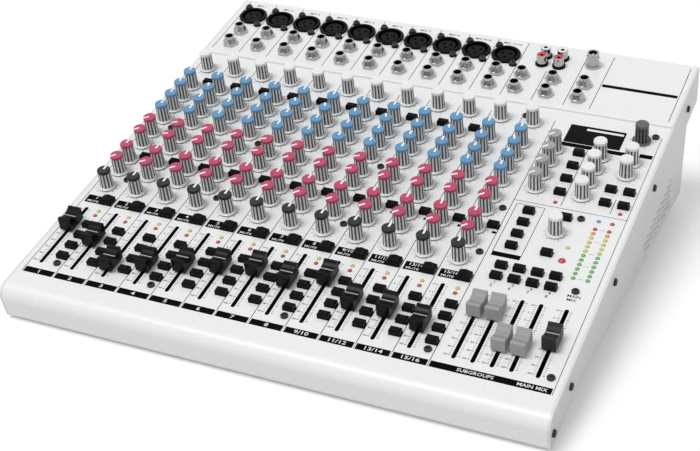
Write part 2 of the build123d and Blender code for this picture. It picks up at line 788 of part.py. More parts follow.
save("lamp_socket", tilted([Pos(master_line + lamp_place[0], lamp_place[1], pod_top) * lamp_connector()]))


# ---------------------------------------------------------------- rear power fittings
def inlet():
    """Three-pin mains inlet with a fuse drawer below it."""
    w, h = inlet_size
    face = Pos(0, 0, inlet_flange / 2) * Box(w, h, inlet_flange)
    face = fillet(face.edges().filter_by(Axis.Z), 2.0)
    body = Pos(0, 0, -12.0) * Box(w - 5, h - 5, 24.0)
    well = Pos(0, 2.5, -6.5) * Box(w - 9, h - 14, 19.2)
    pins = [Pos(x, y, -12.0) * Box(2.0, 4.0, 10.0) for x, y in ((-7, 1.0), (0, 4.2), (7, 1.0))]
    return face + body - well + pins


def rocker_frame():
    w, h = rocker_size
    rim = Pos(0, 0, 0.8) * Box(w + 4.0, h + 4.0, 1.6)
    body = Pos(0, 0, -7.0) * Box(w + 1.2, h + 1.2, 14.0)
    opening = Pos(0, 0, -3.0) * Box(w, h, 14.0)
    return rim + body - opening


def rocker():
    """Rocker that turns about x through the origin, set to its first position."""
    w, h = rocker_size
    drum = Cylinder(h / 2 - 0.6, w - 0.8, rotation=(0, 90, 0))
    slab = Pos(0, 0, -2.0) * Box(w, h, 9.0)
    return Rot(-rocker_swing, 0, 0) * (drum & slab)


fittings = [REAR * Pos(*inlet_place, 0) * inlet()]
frame = rocker_frame()
fittings += [REAR * Pos(x, y, 0) * frame for x, y in rocker_places.values()]
save("power_entry", fittings)
for name, (x, y) in rocker_places.items():
    save(name, [REAR * Pos(x, y, 0) * rocker()])


# ---------------------------------------------------------------- power supply
def power_supply():
    """Supply board on spacers with its transformer, capacitors and heat sink."""
    floor = base_z + sheet
    y0 = rear_foot_y - 95.0
    deck = floor + 6.0
    solids = [Pos(-90, y0, deck + 0.8) * Box(150, 80, 1.6)]
    for dx in (-68, 68):
        for dy in (-33, 33):
            solids.append(rod(3.0, -90 + dx, y0 + dy, floor, deck))
    solids.append(block((52, 44, 30), -128, y0, deck + 1.6))
    for i in range(3):
        solids.append(rod(8.0, -80 + i * 19, y0 + 22, deck + 1.6, deck + 27))
    solids.append(block((60, 3, 24), -60, y0 - 30, deck + 1.6))
    return solids


save("power_supply", power_supply())
print("frame", "middle_y", round(middle_y, 3), "floor_z", round(floor_z, 3))
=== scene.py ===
import json
import math

import bpy
from mathutils import Matrix, Vector


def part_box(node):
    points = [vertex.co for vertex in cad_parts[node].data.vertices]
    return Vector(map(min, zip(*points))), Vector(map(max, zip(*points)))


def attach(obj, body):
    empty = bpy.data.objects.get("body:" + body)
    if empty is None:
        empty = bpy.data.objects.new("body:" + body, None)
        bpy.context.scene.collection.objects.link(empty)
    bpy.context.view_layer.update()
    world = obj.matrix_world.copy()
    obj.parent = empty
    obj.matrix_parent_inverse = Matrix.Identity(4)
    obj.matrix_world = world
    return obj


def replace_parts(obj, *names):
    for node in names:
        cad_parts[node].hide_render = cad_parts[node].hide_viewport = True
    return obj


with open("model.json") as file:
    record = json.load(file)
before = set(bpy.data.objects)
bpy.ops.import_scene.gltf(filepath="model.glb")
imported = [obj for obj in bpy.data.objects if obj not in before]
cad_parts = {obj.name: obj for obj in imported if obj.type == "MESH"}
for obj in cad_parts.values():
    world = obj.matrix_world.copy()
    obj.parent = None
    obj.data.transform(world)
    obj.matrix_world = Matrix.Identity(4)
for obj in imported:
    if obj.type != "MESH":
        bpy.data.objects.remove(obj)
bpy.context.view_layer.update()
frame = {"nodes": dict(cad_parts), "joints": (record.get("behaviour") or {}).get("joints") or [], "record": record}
nodes = frame["nodes"]

# ---------------------------------------------------------------- the panel's own frame
# Sizes are in millimetres: x to the right from the middle, y up the slope from the front
# end of the channel strips, z square to the panel.
SLOPE = math.radians(12.2)
MIDDLE_Y = 175.314
FLOOR_Z = -31.392
STRIP = 25.4                # width of a channel strip
CHANNELS = 12
FIRST = -193.0              # left edge of the first strip
MASTER = FIRST + CHANNELS * STRIP    # left edge of the master section
MASTER_END = FIRST + 386.5  # right edge of the master section
POD = 2.0                   # the connector panel stands this far above the main one
INK = 0.03                  # printing stands this far off its surface
PANEL = (Matrix.Scale(0.001, 4) @ Matrix.Translation((0, -MIDDLE_Y, -FLOOR_Z))
         @ Matrix.Rotation(SLOPE, 4, "X"))


def strip_x(index, offset):
    """The x of a point this far from the left edge of a channel strip."""
    return FIRST + index * STRIP + offset


# ---------------------------------------------------------------- materials
def surface(name, color, rough, metal=0.0, mottle=0.06, grain=900.0, bump=0.02, coat=0.0,
            rough_spread=0.12, gloss=0.5):
    """A procedural material: fine colour mottle, uneven gloss and a moulded or painted grain."""
    material = bpy.data.materials.new(name)
    material.use_nodes = True
    tree = material.node_tree
    shader = tree.nodes["Principled BSDF"]
    shader.inputs["Metallic"].default_value = metal
    shader.inputs["Specular IOR Level"].default_value = gloss
    shader.inputs["Coat Weight"].default_value = coat
    shader.inputs["Coat Roughness"].default_value = 0.12
    place = tree.nodes.new("ShaderNodeTexCoord").outputs["Object"]

    def noise(scale, detail):
        node = tree.nodes.new("ShaderNodeTexNoise")
        node.inputs["Scale"].default_value = scale
        node.inputs["Detail"].default_value = detail
        tree.links.new(place, node.inputs["Vector"])
        return node.outputs["Fac"]

    ramp = tree.nodes.new("ShaderNodeValToRGB")
    for element, position, share in zip(ramp.color_ramp.elements, (0.3, 0.7), (1 - mottle, 1 + mottle)):
        element.position = position
        element.color = [min(1.0, c * share) for c in color] + [1]
    tree.links.new(noise(grain * 0.35, 4.0), ramp.inputs["Fac"])
    tree.links.new(ramp.outputs["Color"], shader.inputs["Base Color"])

    spread = tree.nodes.new("ShaderNodeMapRange")
    spread.inputs["To Min"].default_value = max(0.03, rough - rough_spread / 2)
    spread.inputs["To Max"].default_value = min(1.0, rough + rough_spread / 2)
    tree.links.new(noise(60.0, 3.0), spread.inputs["Value"])
    tree.links.new(spread.outputs["Result"], shader.inputs["Roughness"])

    relief = tree.nodes.new("ShaderNodeBump")
    relief.inputs["Strength"].default_value = 0.6
    relief.inputs["Distance"].default_value = bump / 1000
    tree.links.new(noise(grain, 2.0), relief.inputs["Height"])
    tree.links.new(relief.outputs["Normal"], shader.inputs["Normal"])
    return material


silver = surface("silver_paint", (0.86, 0.865, 0.87),
                 rough=0.42, mottle=0.05, grain=3200, bump=0.03, coat=0.15)
# the same silver paint made darker for the cheeks and the bottom pan: painted shade on the sides
silver_shaded_side = surface("silver_cheek_painted_shade", (0.74, 0.745, 0.75),
                      rough=0.45, mottle=0.05, grain=3200, bump=0.03, coat=0.1)
grey_paint = surface("grey_paint", (0.62, 0.63, 0.64), rough=0.5, mottle=0.05, grain=2600, bump=0.03)
black_metal = surface("black_screw_metal", (0.02, 0.02, 0.02),
                      rough=0.32, metal=0.3, mottle=0.2, grain=1500, bump=0.01)
nickel = surface("nickel_plate", (0.47, 0.468, 0.46),
                 rough=0.16, metal=1.0, mottle=0.04, grain=700, bump=0.006, rough_spread=0.14)
# near-black for the fader tracks: dust felt, and painted shade that keeps the fader slots dark
track_felt_and_shade = surface("track_felt_painted_shade", (0.006, 0.006, 0.006), rough=0.9, mottle=0.2, grain=3000, bump=0.05)
socket_black = surface("socket_plastic", (0.004, 0.004, 0.0045),
                       rough=0.32, mottle=0.25, grain=1200, bump=0.02, gloss=0.06)
button_black = surface("button_plastic", (0.004, 0.004, 0.0045),
                       rough=0.3, mottle=0.25, grain=1500, bump=0.03, gloss=0.07)
fader_black = surface("fader_black_plastic", (0.004, 0.004, 0.0045),
                      rough=0.26, mottle=0.2, grain=1500, bump=0.03, gloss=0.12)
fader_grey = surface("fader_grey_plastic", (0.36, 0.365, 0.37),
                     rough=0.4, mottle=0.05, grain=1500, bump=0.03, gloss=0.2)
fader_dark = surface("fader_dark_plastic", (0.03, 0.03, 0.033),
                     rough=0.38, mottle=0.12, grain=1500, bump=0.03, gloss=0.12)
# mid-grey for the line across the black fader caps' saddles: a painted highlight
fader_highlight_line = surface("fader_painted_highlight", (0.42, 0.42, 0.42), rough=0.45, mottle=0.05, grain=1500, bump=0.01)
knob_body = surface("knob_silver_plastic", (0.74, 0.745, 0.75),
                    rough=0.3, mottle=0.05, grain=1400, bump=0.02, coat=0.2)
# dark grey for the knobs' grooves and the band under each skirt: painted shade
knob_groove_shade = surface("knob_groove_painted_shade", (0.11, 0.11, 0.113),
                     rough=0.4, mottle=0.15, grain=1400, bump=0.02, gloss=0.3)
knob_skirt = surface("knob_skirt_plastic", (0.78, 0.785, 0.79),
                     rough=0.3, mottle=0.05, grain=1400, bump=0.02, coat=0.2)
cap_white = surface("cap_white_plastic", (0.84, 0.84, 0.84), rough=0.36, mottle=0.03, grain=1400, bump=0.02)
cap_blue = surface("cap_blue_plastic", (0.11, 0.29, 0.5), rough=0.36, mottle=0.07, grain=1400, bump=0.02)
cap_pink = surface("cap_crimson_plastic", (0.48, 0.045, 0.12),
                   rough=0.36, mottle=0.07, grain=1400, bump=0.02)
cap_dark = surface("cap_dark_plastic", (0.014, 0.014, 0.016),
                   rough=0.36, mottle=0.15, grain=1400, bump=0.02, gloss=0.3)
knob_dark = surface("knob_dark_plastic", (0.12, 0.12, 0.125),
                    rough=0.36, mottle=0.1, grain=1400, bump=0.02, gloss=0.3)
cap_grey = surface("cap_grey_plastic", (0.36, 0.36, 0.37), rough=0.36, mottle=0.05, grain=1400, bump=0.02)
pointer_white = surface("pointer_ink", (0.9, 0.9, 0.9), rough=0.45, mottle=0.02, grain=1400, bump=0.01)
rubber = surface("foot_rubber", (0.02, 0.02, 0.02), rough=0.8, mottle=0.2, grain=900, bump=0.05)
circuit = surface("circuit_board", (0.02, 0.12, 0.05), rough=0.4, mottle=0.2, grain=400, bump=0.02)
supply = surface("supply_parts", (0.16, 0.15, 0.1), rough=0.5, mottle=0.2, grain=500, bump=0.02)
pots = surface("control_bodies", (0.12, 0.13, 0.15), rough=0.5, mottle=0.15, grain=500, bump=0.02)
display = surface("display_window", (0.003, 0.003, 0.0035),
                  rough=0.25, mottle=0.2, grain=500, bump=0.003, gloss=0.04)
# black for the print, and for the painted shade that lines the fader slots
black_ink_and_shade = surface("black_ink_and_shade", (0.003, 0.003, 0.003),
                    rough=0.6, mottle=0.15, grain=2500, bump=0.01, gloss=0.02)
ink_grey = surface("ink_grey", (0.012, 0.012, 0.012),
                   rough=0.6, mottle=0.1, grain=2500, bump=0.01, gloss=0.03)
ink_white = surface("ink_white", (0.85, 0.85, 0.85), rough=0.5, mottle=0.03, grain=2500, bump=0.01)
led_green = surface("lens_green", (0.16, 0.42, 0.13),
                    rough=0.25, mottle=0.06, grain=700, bump=0.01, coat=0.3)
led_yellow = surface("lens_yellow", (0.62, 0.56, 0.14),
                     rough=0.25, mottle=0.06, grain=700, bump=0.01, coat=0.3)
led_amber = surface("lens_amber", (0.75, 0.3, 0.05),
                    rough=0.25, mottle=0.06, grain=700, bump=0.01, coat=0.3)
led_red = surface("lens_red", (0.5, 0.04, 0.05), rough=0.25, mottle=0.06, grain=700, bump=0.01, coat=0.3)
led_blue = surface("lens_blue", (0.12, 0.3, 0.55), rough=0.25, mottle=0.06, grain=700, bump=0.01, coat=0.3)
rca_white = surface("phono_white", (0.85, 0.85, 0.84), rough=0.35, mottle=0.03, grain=900, bump=0.01)
rca_red = surface("phono_red", (0.65, 0.03, 0.03), rough=0.35, mottle=0.06, grain=900, bump=0.01)

finish_of = {
    "top_panel": silver, "connector_panel": silver, "left_cheek": silver_shaded_side, "right_cheek": silver_shaded_side,
    "rear_panel": grey_paint, "bottom_pan": silver_shaded_side, "case_screws": black_metal, "feet": rubber,
    "circuit_boards": circuit, "power_supply": supply, "fader_tracks": track_felt_and_shade,
    "pot_and_switch_bodies": pots, "xlr_sockets": socket_black, "jack_sockets": socket_black,
    "jack_collars": nickel, "rca_sockets": nickel, "lamp_socket": nickel, "status_leds": led_green,
    "display_window": display, "power_entry": socket_black, "power_switch": button_black,
    "phantom_switch": button_black, "main_fader": fader_dark,
}
for name, obj in nodes.items():
    if name in finish_of:
        finish = finish_of[name]
    elif name.endswith("_buttons"):
        finish = button_black
    elif name.startswith("group"):
        finish = fader_grey
    elif name.endswith("_fader"):
        finish = fader_black
    else:
        finish = knob_body
    obj.data.materials.clear()
    obj.data.materials.append(finish)


# ---------------------------------------------------------------- mesh building
class Piece:
    """Collects faces in the panel's frame, then makes one object that rides on a body."""

    def __init__(self, name, body, slot, *materials):
        self.name, self.body, self.slot, self.materials = name, body, slot, list(materials)
        self.points, self.faces, self.finish = [], [], []

    def add_faces(self, first, faces, material):
        """Faces whose corners are numbered from the piece's point number first."""
        self.faces += [[first + i for i in face] for face in faces]
        self.finish += [self.materials.index(material)] * len(faces)

    def add(self, points, faces, material):
        self.add_faces(len(self.points), faces, material)
        self.points += [Vector(p) for p in points]

    def quad(self, x0, y0, x1, y1, z, material):
        self.add([(x0, y0, z), (x1, y0, z), (x1, y1, z), (x0, y1, z)], [(0, 1, 2, 3)], material)

    def line(self, a, b, width, z, material):
        run = Vector((b[0] - a[0], b[1] - a[1], 0)).normalized() * width / 2
        side = Vector((-run.y, run.x, 0))
        start, end = Vector((*a, z)), Vector((*b, z))
        self.add([start - side, end - side, end + side, start + side], [(0, 1, 2, 3)], material)

    def lathe(self, x, y, rings, count=32, close=True):
        """rings: (z, radius, material of the band above it), from the bottom up."""
        first = len(self.points)
        for z, radius, _ in rings:
            for i in range(count):
                a = 2 * math.pi * i / count
                self.points.append(Vector((x + radius * math.cos(a), y + radius * math.sin(a), z)))
        for k, (_, _, material) in enumerate(rings[:-1]):
            low, high = k * count, (k + 1) * count
            self.add_faces(first, [(low + i, low + (i + 1) % count, high + (i + 1) % count, high + i)
                                   for i in range(count)], material)
        if close:
            top = (len(rings) - 1) * count
            self.add_faces(first, [range(top, top + count)], rings[-1][2])

    def finish_piece(self, bevel=0.0):
        mesh = bpy.data.meshes.new(self.name)
        mesh.from_pydata([PANEL @ p for p in self.points], [], self.faces)
        for material in self.materials:
            mesh.materials.append(material)
        mesh.polygons.foreach_set("material_index", self.finish)
        mesh.polygons.foreach_set("use_smooth", [False] * len(self.faces))
        mesh.update()
        obj = bpy.data.objects.new(self.name, mesh)
        bpy.context.scene.collection.objects.link(obj)
        if bevel:
            edge = obj.modifiers.new("edge", "BEVEL")
            edge.width = bevel / 1000
            edge.segments = 2
            edge.limit_method = "ANGLE"
            edge.angle_limit = math.radians(35)
        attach(obj, self.body)
        return obj


LETTER_HEIGHT = 0.7         # of a capital, in a text curve of size 1
letter_shapes = {}


def letter_shape(text):
    """The outline of a line of text as points and faces, at size 1 and centred."""
    if text not in letter_shapes:
        curve = bpy.data.curves.new("words", "FONT")
        curve.body = text
        curve.align_x = "CENTER"
        curve.align_y = "CENTER"
        curve.offset = 0.012
        curve.resolution_u = 2
        holder = bpy.data.objects.new("words", curve)
        bpy.context.scene.collection.objects.link(holder)
        bpy.context.view_layer.update()
        mesh = bpy.data.meshes.new_from_object(holder.evaluated_get(bpy.context.evaluated_depsgraph_get()))
        letter_shapes[text] = ([v.co.copy() for v in mesh.vertices],
                               [tuple(p.vertices) for p in mesh.polygons])
        bpy.data.objects.remove(holder)
        bpy.data.curves.remove(curve)
        bpy.data.meshes.remove(mesh)
    return letter_shapes[text]


def words(piece, text, x, y, height, z, material, stretch=1.0):
    points, faces = letter_shape(text)
    scale = height / LETTER_HEIGHT
    piece.add([(x + p.x * scale * stretch, y + p.y * scale, z) for p in points], faces, material)


# ---------------------------------------------------------------- knobs
KNOB_LOW = 0.8              # the skirt's underside
KNOB_SHOULDER = 14.0        # the top of the flutes
KNOB_TOP = 16.2
KNOB_SEGMENTS = 48
FLUTE_SEGMENTS = 4          # two on a ridge, and one down into a groove and one out of it
POINTER_HALF = 0.8


def knob(piece, x, y, cap, pointer_deg, body=knob_body, groove_shade=knob_groove_shade, skirt=knob_skirt, pointer=True):
    """A fluted knob with a thin dished skirt, a coloured cap and an inlaid pointer; its grooves and the band under
    the skirt's rim carry painted shade.
    """
    turn = math.radians(pointer_deg + 90)
    # the lowest band, under the skirt's rim, is painted shade
    dish = ((0.0, 6.8, groove_shade), (0.15, 7.0, skirt), (0.5, 7.1, skirt), (0.65, 6.8, skirt),
            (0.45, 6.3, skirt), (0.75, 5.2, skirt), (1.0, 4.2, skirt))
    piece.lathe(x, y, [(KNOB_LOW + rise, radius, material) for rise, radius, material in dish],
                KNOB_SEGMENTS, False)

    first = len(piece.points)
    for z, ridge, groove in ((KNOB_LOW + 0.6, 5.1, 4.5), (KNOB_SHOULDER, 4.75, 4.2)):
        for i in range(KNOB_SEGMENTS):
            a = 2 * math.pi * i / KNOB_SEGMENTS + turn
            r = groove if i % FLUTE_SEGMENTS == FLUTE_SEGMENTS - 1 else ridge
            piece.points.append(Vector((x + r * math.cos(a), y + r * math.sin(a), z)))
    for i in range(KNOB_SEGMENTS):
        j = (i + 1) % KNOB_SEGMENTS
        # the faces down into and out of each groove are painted shade
        in_groove = i % FLUTE_SEGMENTS >= FLUTE_SEGMENTS - 2
        piece.add_faces(first, [(i, j, KNOB_SEGMENTS + j, KNOB_SEGMENTS + i)], groove_shade if in_groove else body)

    cap_rings = ((13.9, 4.2), (13.95, 4.9), (14.15, 5.05), (15.85, 4.95), (KNOB_TOP, 4.6))
    piece.lathe(x, y, [(z, radius, cap) for z, radius in cap_rings], KNOB_SEGMENTS)
    if not pointer:
        return
    out = Vector((math.cos(turn), math.sin(turn), 0))
    side = Vector((-out.y, out.x, 0))
    centre = Vector((x, y, 0))
    path = [(0.2, KNOB_TOP + 0.04), (4.65, KNOB_TOP + 0.04), (5.02, 15.85), (5.11, 14.2)]
    points = [centre + out * reach + side * hand + Vector((0, 0, height))
              for reach, height in path for hand in (-POINTER_HALF, POINTER_HALF)]
    piece.add(points, [(2 * i, 2 * i + 2, 2 * i + 3, 2 * i + 1) for i in range(len(path) - 1)], pointer_white)


KNOB_OFFSET = 10.0          # of the knobs' line, from the strip's left edge
LEFT = 135.0                # turned down: the pointer's angle anticlockwise from 12 o'clock
channel_rows = {
    "trim_knobs": ("knob_white", cap_white, [(267.3, 40.0)]),
    "eq_knobs": ("knob_blue", cap_blue, [(239.8, 0.0), (223.5, 20.0), (207.7, 0.0), (191.7, 0.0)]),
    "aux_knobs": ("knob_pink", cap_pink, [(172.8, LEFT), (157.4, LEFT), (137.0, 0.0), (121.8, LEFT)]),
    "pan_knobs": ("knob_dark", cap_dark, [(102.6, 0.0)]),
}
for node, (slot, cap, rows) in channel_rows.items():
    group = Piece(node + "_fluted", "console", slot, knob_body, knob_groove_shade, knob_skirt, cap, pointer_white)
    for row, angle in rows:
        for i in range(CHANNELS):
            # in a row that is turned down, every third knob is turned up a little
            lean = 25.0 * math.sin(7.3 * i + row) if angle == LEFT and i % 3 == 1 else 0.0
            knob(group, strip_x(i, KNOB_OFFSET), row, cap, angle - abs(lean))
    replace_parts(group.finish_piece(), node)

master_knobs = {}           # x from the master section's left edge, y, cap and angle
for i, row in enumerate((239.6, 223.8, 207.8, 191.7)):
    master_knobs[f"aux_master_{i + 1}_knob"] = (10.5, row, cap_grey, LEFT)
    master_knobs[f"return_{i + 1}_knob"] = (44.7, row, cap_white, LEFT)
master_knobs["effect_level_1_knob"] = (68.2, 239.6, cap_white, LEFT)
master_knobs["effect_level_2_knob"] = (68.2, 223.8, cap_white, LEFT)
master_knobs["effect_select_knob"] = (68.2, 267.6, knob_dark, 0.0)
master_knobs["monitor_level_knob"] = (38.8, 148.0, cap_white, LEFT)
slot_of = {s["node"]: s["material_slot"] for s in frame["record"]["subparts"]}
for node, (x, y, cap, angle) in master_knobs.items():
    dark = node == "effect_select_knob"
    body, groove_shade, skirt = (knob_dark, cap_dark, knob_dark) if dark else (knob_body, knob_groove_shade, knob_skirt)
    turned = Piece(node + "_fluted", node, slot_of[node], body, groove_shade, skirt, cap, pointer_white)
    knob(turned, MASTER + x, y, cap, angle, body, groove_shade, skirt, not dark)
    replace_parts(turned.finish_piece(), node)

# ---------------------------------------------------------------- fader caps
SADDLE_RADIUS = 8.22        # of the hollow across the top of a cap
SADDLE_CENTRE = 17.22
CAP_WIDTH = 9.6
FADER_MIDDLE = 43.8
FADER_TRAVEL = 60.0
SLOT_HALF = 32.3            # half the length of a fader slot
GRIP_RIDGES = ((-1.5, 0.22), (1.5, 0.22), (-2.9, 0.22), (2.9, 0.22), (4.3, 0.2), (-4.3, 0.2))
joints = {j["child"]: j for j in frame["joints"]}
faders = [n for n in nodes if n.endswith("_fader")]


def fader_place(node):
    """The cap's middle in the panel frame, from the node's own box and its joint's range."""
    low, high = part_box(node)
    middle = PANEL.inverted() @ ((low + high) / 2)
    travel = joints[node]["range_m"]
    return middle.x, FADER_MIDDLE + FADER_TRAVEL / 2 - 1000 * travel[1]


def saddle_height(y):
    return SADDLE_CENTRE - math.sqrt(SADDLE_RADIUS ** 2 - y * y)


for node in faders:
    x, y = fader_place(node)
    is_group = node.startswith("group")
    own = finish_of.get(node) or (fader_grey if is_group else fader_black)
    # on black caps the middle ridge is painted grey as a highlight streak; on grey caps it keeps the cap's own
    # grey
    highlight_line = fader_grey if is_group else fader_highlight_line
    lines = Piece(node + "_grip", node, "fader_grey" if is_group else "fader_black", own, highlight_line)
    ridges = [(0.0, 0.4, 0.10, highlight_line)] + [(offset, 0.3, proud, own) for offset, proud in GRIP_RIDGES]
    for offset, half_width, proud, material in ridges:
        z0, z1 = saddle_height(offset - half_width), saddle_height(offset + half_width)
        reach = CAP_WIDTH / 2 - 0.01
        points = []
        for dx in (-reach, reach):
            points += [(x + dx, y + offset - half_width, z0), (x + dx, y + offset - half_width, z0 + proud),
                       (x + dx, y + offset + half_width, z1 + proud), (x + dx, y + offset + half_width, z1)]
        lines.add(points, [(0, 4, 5, 1), (1, 5, 6, 2), (2, 6, 7, 3), (0, 1, 2, 3), (4, 7, 6, 5)], material)
    lines.finish_piece()

# ---------------------------------------------------------------- mute buttons
MUTE_OFFSET, MUTE_Y = 19.8, 86.2
MUTE_HALF_X, MUTE_HALF_Y = 4.7, 4.1
MUTE_LOW = -3.0             # the underside, below the panel's surface
mutes = Piece("mute_buttons_faceted", "mute_buttons", "button_black", button_black)
for i in range(CHANNELS):
    x, y = strip_x(i, MUTE_OFFSET), MUTE_Y
    w, h = MUTE_HALF_X, MUTE_HALF_Y
    points = [(x - w, y - h, MUTE_LOW), (x + w, y - h, MUTE_LOW),
              (x + w, y + h, MUTE_LOW), (x - w, y + h, MUTE_LOW),
              (x - w, y - h, 3.4), (x + w, y - h, 3.4), (x + w, y + h, 3.0), (x - w, y + h, 3.0),
              (x - w + 1.0, y - h + 0.9, 4.6), (x + w - 1.0, y - h + 0.9, 4.6), (x, y + h - 1.0, 5.0),
              (x + w - 1.1, y + h - 1.0, 3.8), (x - w + 1.1, y + h - 1.0, 3.8)]
    faces = [(0, 1, 5, 4), (1, 2, 6, 5), (2, 3, 7, 6), (3, 0, 4, 7), (8, 9, 10), (9, 11, 10), (10, 12, 8),
             (4, 5, 9, 8), (5, 6, 11, 9), (6, 7, 12, 10, 11), (7, 4, 8, 12)]
    mutes.add(points, faces, button_black)
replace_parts(mutes.finish_piece(0.25), "mute_buttons")

# ---------------------------------------------------------------- lamps
lamps = Piece("lamp_lenses", "console", "lamp_lens", led_green, led_yellow, led_amber, led_red, led_blue)
LENS_RADIUS = 1.5
LARGE_LENS_RADIUS = 2.5
METER_FIRST_Y, METER_PITCH, METER_LAMPS = 106.9, 4.81, 12
METER_OFFSETS = (63.5, 73.4)


def lens(x, y, material, radius=LENS_RADIUS):
    dome = [(-0.5, radius, material), (0.3, radius, material)]
    for k in range(1, 5):
        a = math.radians(90 * k / 5)
        dome.append((0.3 + radius * 0.45 * math.sin(a), radius * math.cos(a), material))
    lamps.lathe(x, y, dome, 20)


for i in range(CHANNELS):
    lens(strip_x(i, 19.2), 74.4, led_yellow)
    lens(strip_x(i, 19.2), 69.2, led_red)
meter_colours = [led_green] * 6 + [led_yellow] * 4 + [led_amber, led_red]
for x in METER_OFFSETS:
    for k in range(METER_LAMPS):
        lens(MASTER + x, METER_FIRST_Y + METER_PITCH * k, meter_colours[k])
for x, y, material in ((63.6, 168.6, led_blue), (73.3, 168.3, led_red), (28.7, 180.4, led_red),
                       (75.5, 180.4, led_red), (51.4, 135.5, led_yellow)):
    lens(MASTER + x, y, material)
lens(MASTER + 51.4, 121.4, led_red, LARGE_LENS_RADIUS)
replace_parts(lamps.finish_piece(), "status_leds")

# ---------------------------------------------------------------- phono sockets
phono = Piece("phono_sockets", "console", "nickel", nickel, socket_black, rca_white, rca_red)
for x, y, insert in ((-32.2, 355.0, rca_white), (-18.3, 355.0, rca_white), (-32.2, 344.0, rca_red),
                     (-18.3, 344.0, rca_red)):
    x += MASTER
    base = ((-1.0, 5.3, socket_black), (1.5, 5.3, socket_black), (1.6, 4.4, socket_black))
    shell = ((1.2, 4.15, nickel), (8.6, 4.15, nickel), (9.0, 3.8, nickel), (9.0, 3.6, insert),
             (8.7, 3.4, insert), (8.7, 1.9, insert), (8.9, 1.7, nickel), (8.7, 1.5, socket_black),
             (2.0, 1.5, socket_black))
    phono.lathe(x, y, [(POD + z, radius, material) for z, radius, material in base], close=False)
    phono.lathe(x, y, [(POD + z, radius, material) for z, radius, material in shell])
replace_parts(phono.finish_piece(), "rca_sockets")

# ---------------------------------------------------------------- printing on the main panel, and painted shade in the fader slots
TOP_V = 275.0               # top end of the strips' lines
BAND = (0.0, 5.5)           # the black band along the front end
BAND_INSET = 0.9
LINE = 0.5
print_and_slot_shade = Piece("panel_print_and_slot_shade", "console", "silver_paint", black_ink_and_shade, ink_grey, ink_white)
numerals = [str(i + 1) for i in range(8)] + ["9/10", "11/12", "13/14", "15/16"]
for k in range(CHANNELS + 1):
    x = FIRST + k * STRIP
    print_and_slot_shade.line((x, BAND[1] if 0 < k < CHANNELS else 0.0), (x, TOP_V), LINE, INK, ink_grey)
    print_and_slot_shade.line((x, 0.0), (x, 20.0), 0.3, INK, ink_grey)
print_and_slot_shade.line((MASTER_END, 0.0), (MASTER_END, TOP_V), 0.4, INK, ink_grey)
band_text_y = 2.75
for i in range(CHANNELS):
    print_and_slot_shade.quad(strip_x(i, BAND_INSET), BAND[0], strip_x(i, STRIP - BAND_INSET), BAND[1], INK, black_ink_and_shade)
    words(print_and_slot_shade, numerals[i], strip_x(i, STRIP / 2), band_text_y, 3.1, 2 * INK, ink_white, 1.35)
print_and_slot_shade.quad(MASTER + BAND_INSET, BAND[0], FIRST + 385.6, BAND[1], INK, black_ink_and_shade)
for text, offset in (("SUBGROUPS", 31.0), ("MAIN MIX", 68.0)):
    words(print_and_slot_shade, text, MASTER + offset, band_text_y, 2.8, 2 * INK, ink_white, 1.1)

for i in range(CHANNELS):
    print_and_slot_shade.quad(strip_x(i, 1.8), 81.9, strip_x(i, 14.9), 90.5, INK, black_ink_and_shade)
    words(print_and_slot_shade, numerals[i], strip_x(i, 9.6), 88.0, 2.8, 2 * INK, ink_white, 1.2)
    words(print_and_slot_shade, "MUTE", strip_x(i, 8.2), 84.0, 1.9, 2 * INK, ink_white, 1.35)
    print_and_slot_shade.quad(strip_x(i, 21.9), 135.2, strip_x(i, 25.0), 137.6, INK, black_ink_and_shade)


def slot_painted_shade(x, half_length, half_width, rim, depth):
    """A black edge round a fader slot, and a lining down its walls: painted shade that darkens the slot and widens
    its dark line.
    """
    outlines = []
    for grow in (rim, 0.0):
        ring = []
        for end in (1, -1):
            centre = FADER_MIDDLE + end * (half_length - half_width)
            for k in range(9):
                a = math.pi * k / 8 + (0 if end > 0 else math.pi)
                r = half_width + grow
                ring.append((x + r * math.cos(a), centre + r * math.sin(a)))
        outlines.append(ring)
    outer, inner = outlines
    count = len(outer)
    points = [(*p, INK) for p in outer] + [(*p, INK) for p in inner]
    points += [(px + (x - px) * 0.02, py, -depth) for px, py in inner]
    faces = [(low + i, low + (i + 1) % count, low + count + (i + 1) % count, low + count + i)
             for low in (0, count) for i in range(count)]
    print_and_slot_shade.add(points, faces, black_ink_and_shade)


# painted shade in and round every fader slot
for node in faders:
    slot_painted_shade(fader_place(node)[0], SLOT_HALF, half_width=1.2, rim=0.25, depth=1.2)

# fader scales: main marks with numbers, finer marks between
marks = [(1.0, "10"), (0.875, "5"), (0.75, "0"), (0.625, "5"), (0.5, "10"), (0.375, "20"), (0.25, "30"),
         (0.125, "40"), (0.0, "60")]
MARK_PITCH = 7.5
for node in faders:
    x, _ = fader_place(node)
    for share, label in marks:
        y = FADER_MIDDLE - FADER_TRAVEL / 2 + FADER_TRAVEL * share
        print_and_slot_shade.line((x - 2.2, y), (x - 4.4, y), 0.42, INK, black_ink_and_shade)
        print_and_slot_shade.line((x + 2.2, y), (x + 4.2, y), 0.42, INK, black_ink_and_shade)
        words(print_and_slot_shade, label, x - 5.9, y, 1.5, INK, black_ink_and_shade, 1.15)
        if share:
            for step in (0.25, 0.5, 0.75):
                between = y - MARK_PITCH * step
                for hand in (-1, 1):
                    print_and_slot_shade.line((x + hand * 2.4, between), (x + hand * 3.8, between), 0.3, INK, ink_grey)


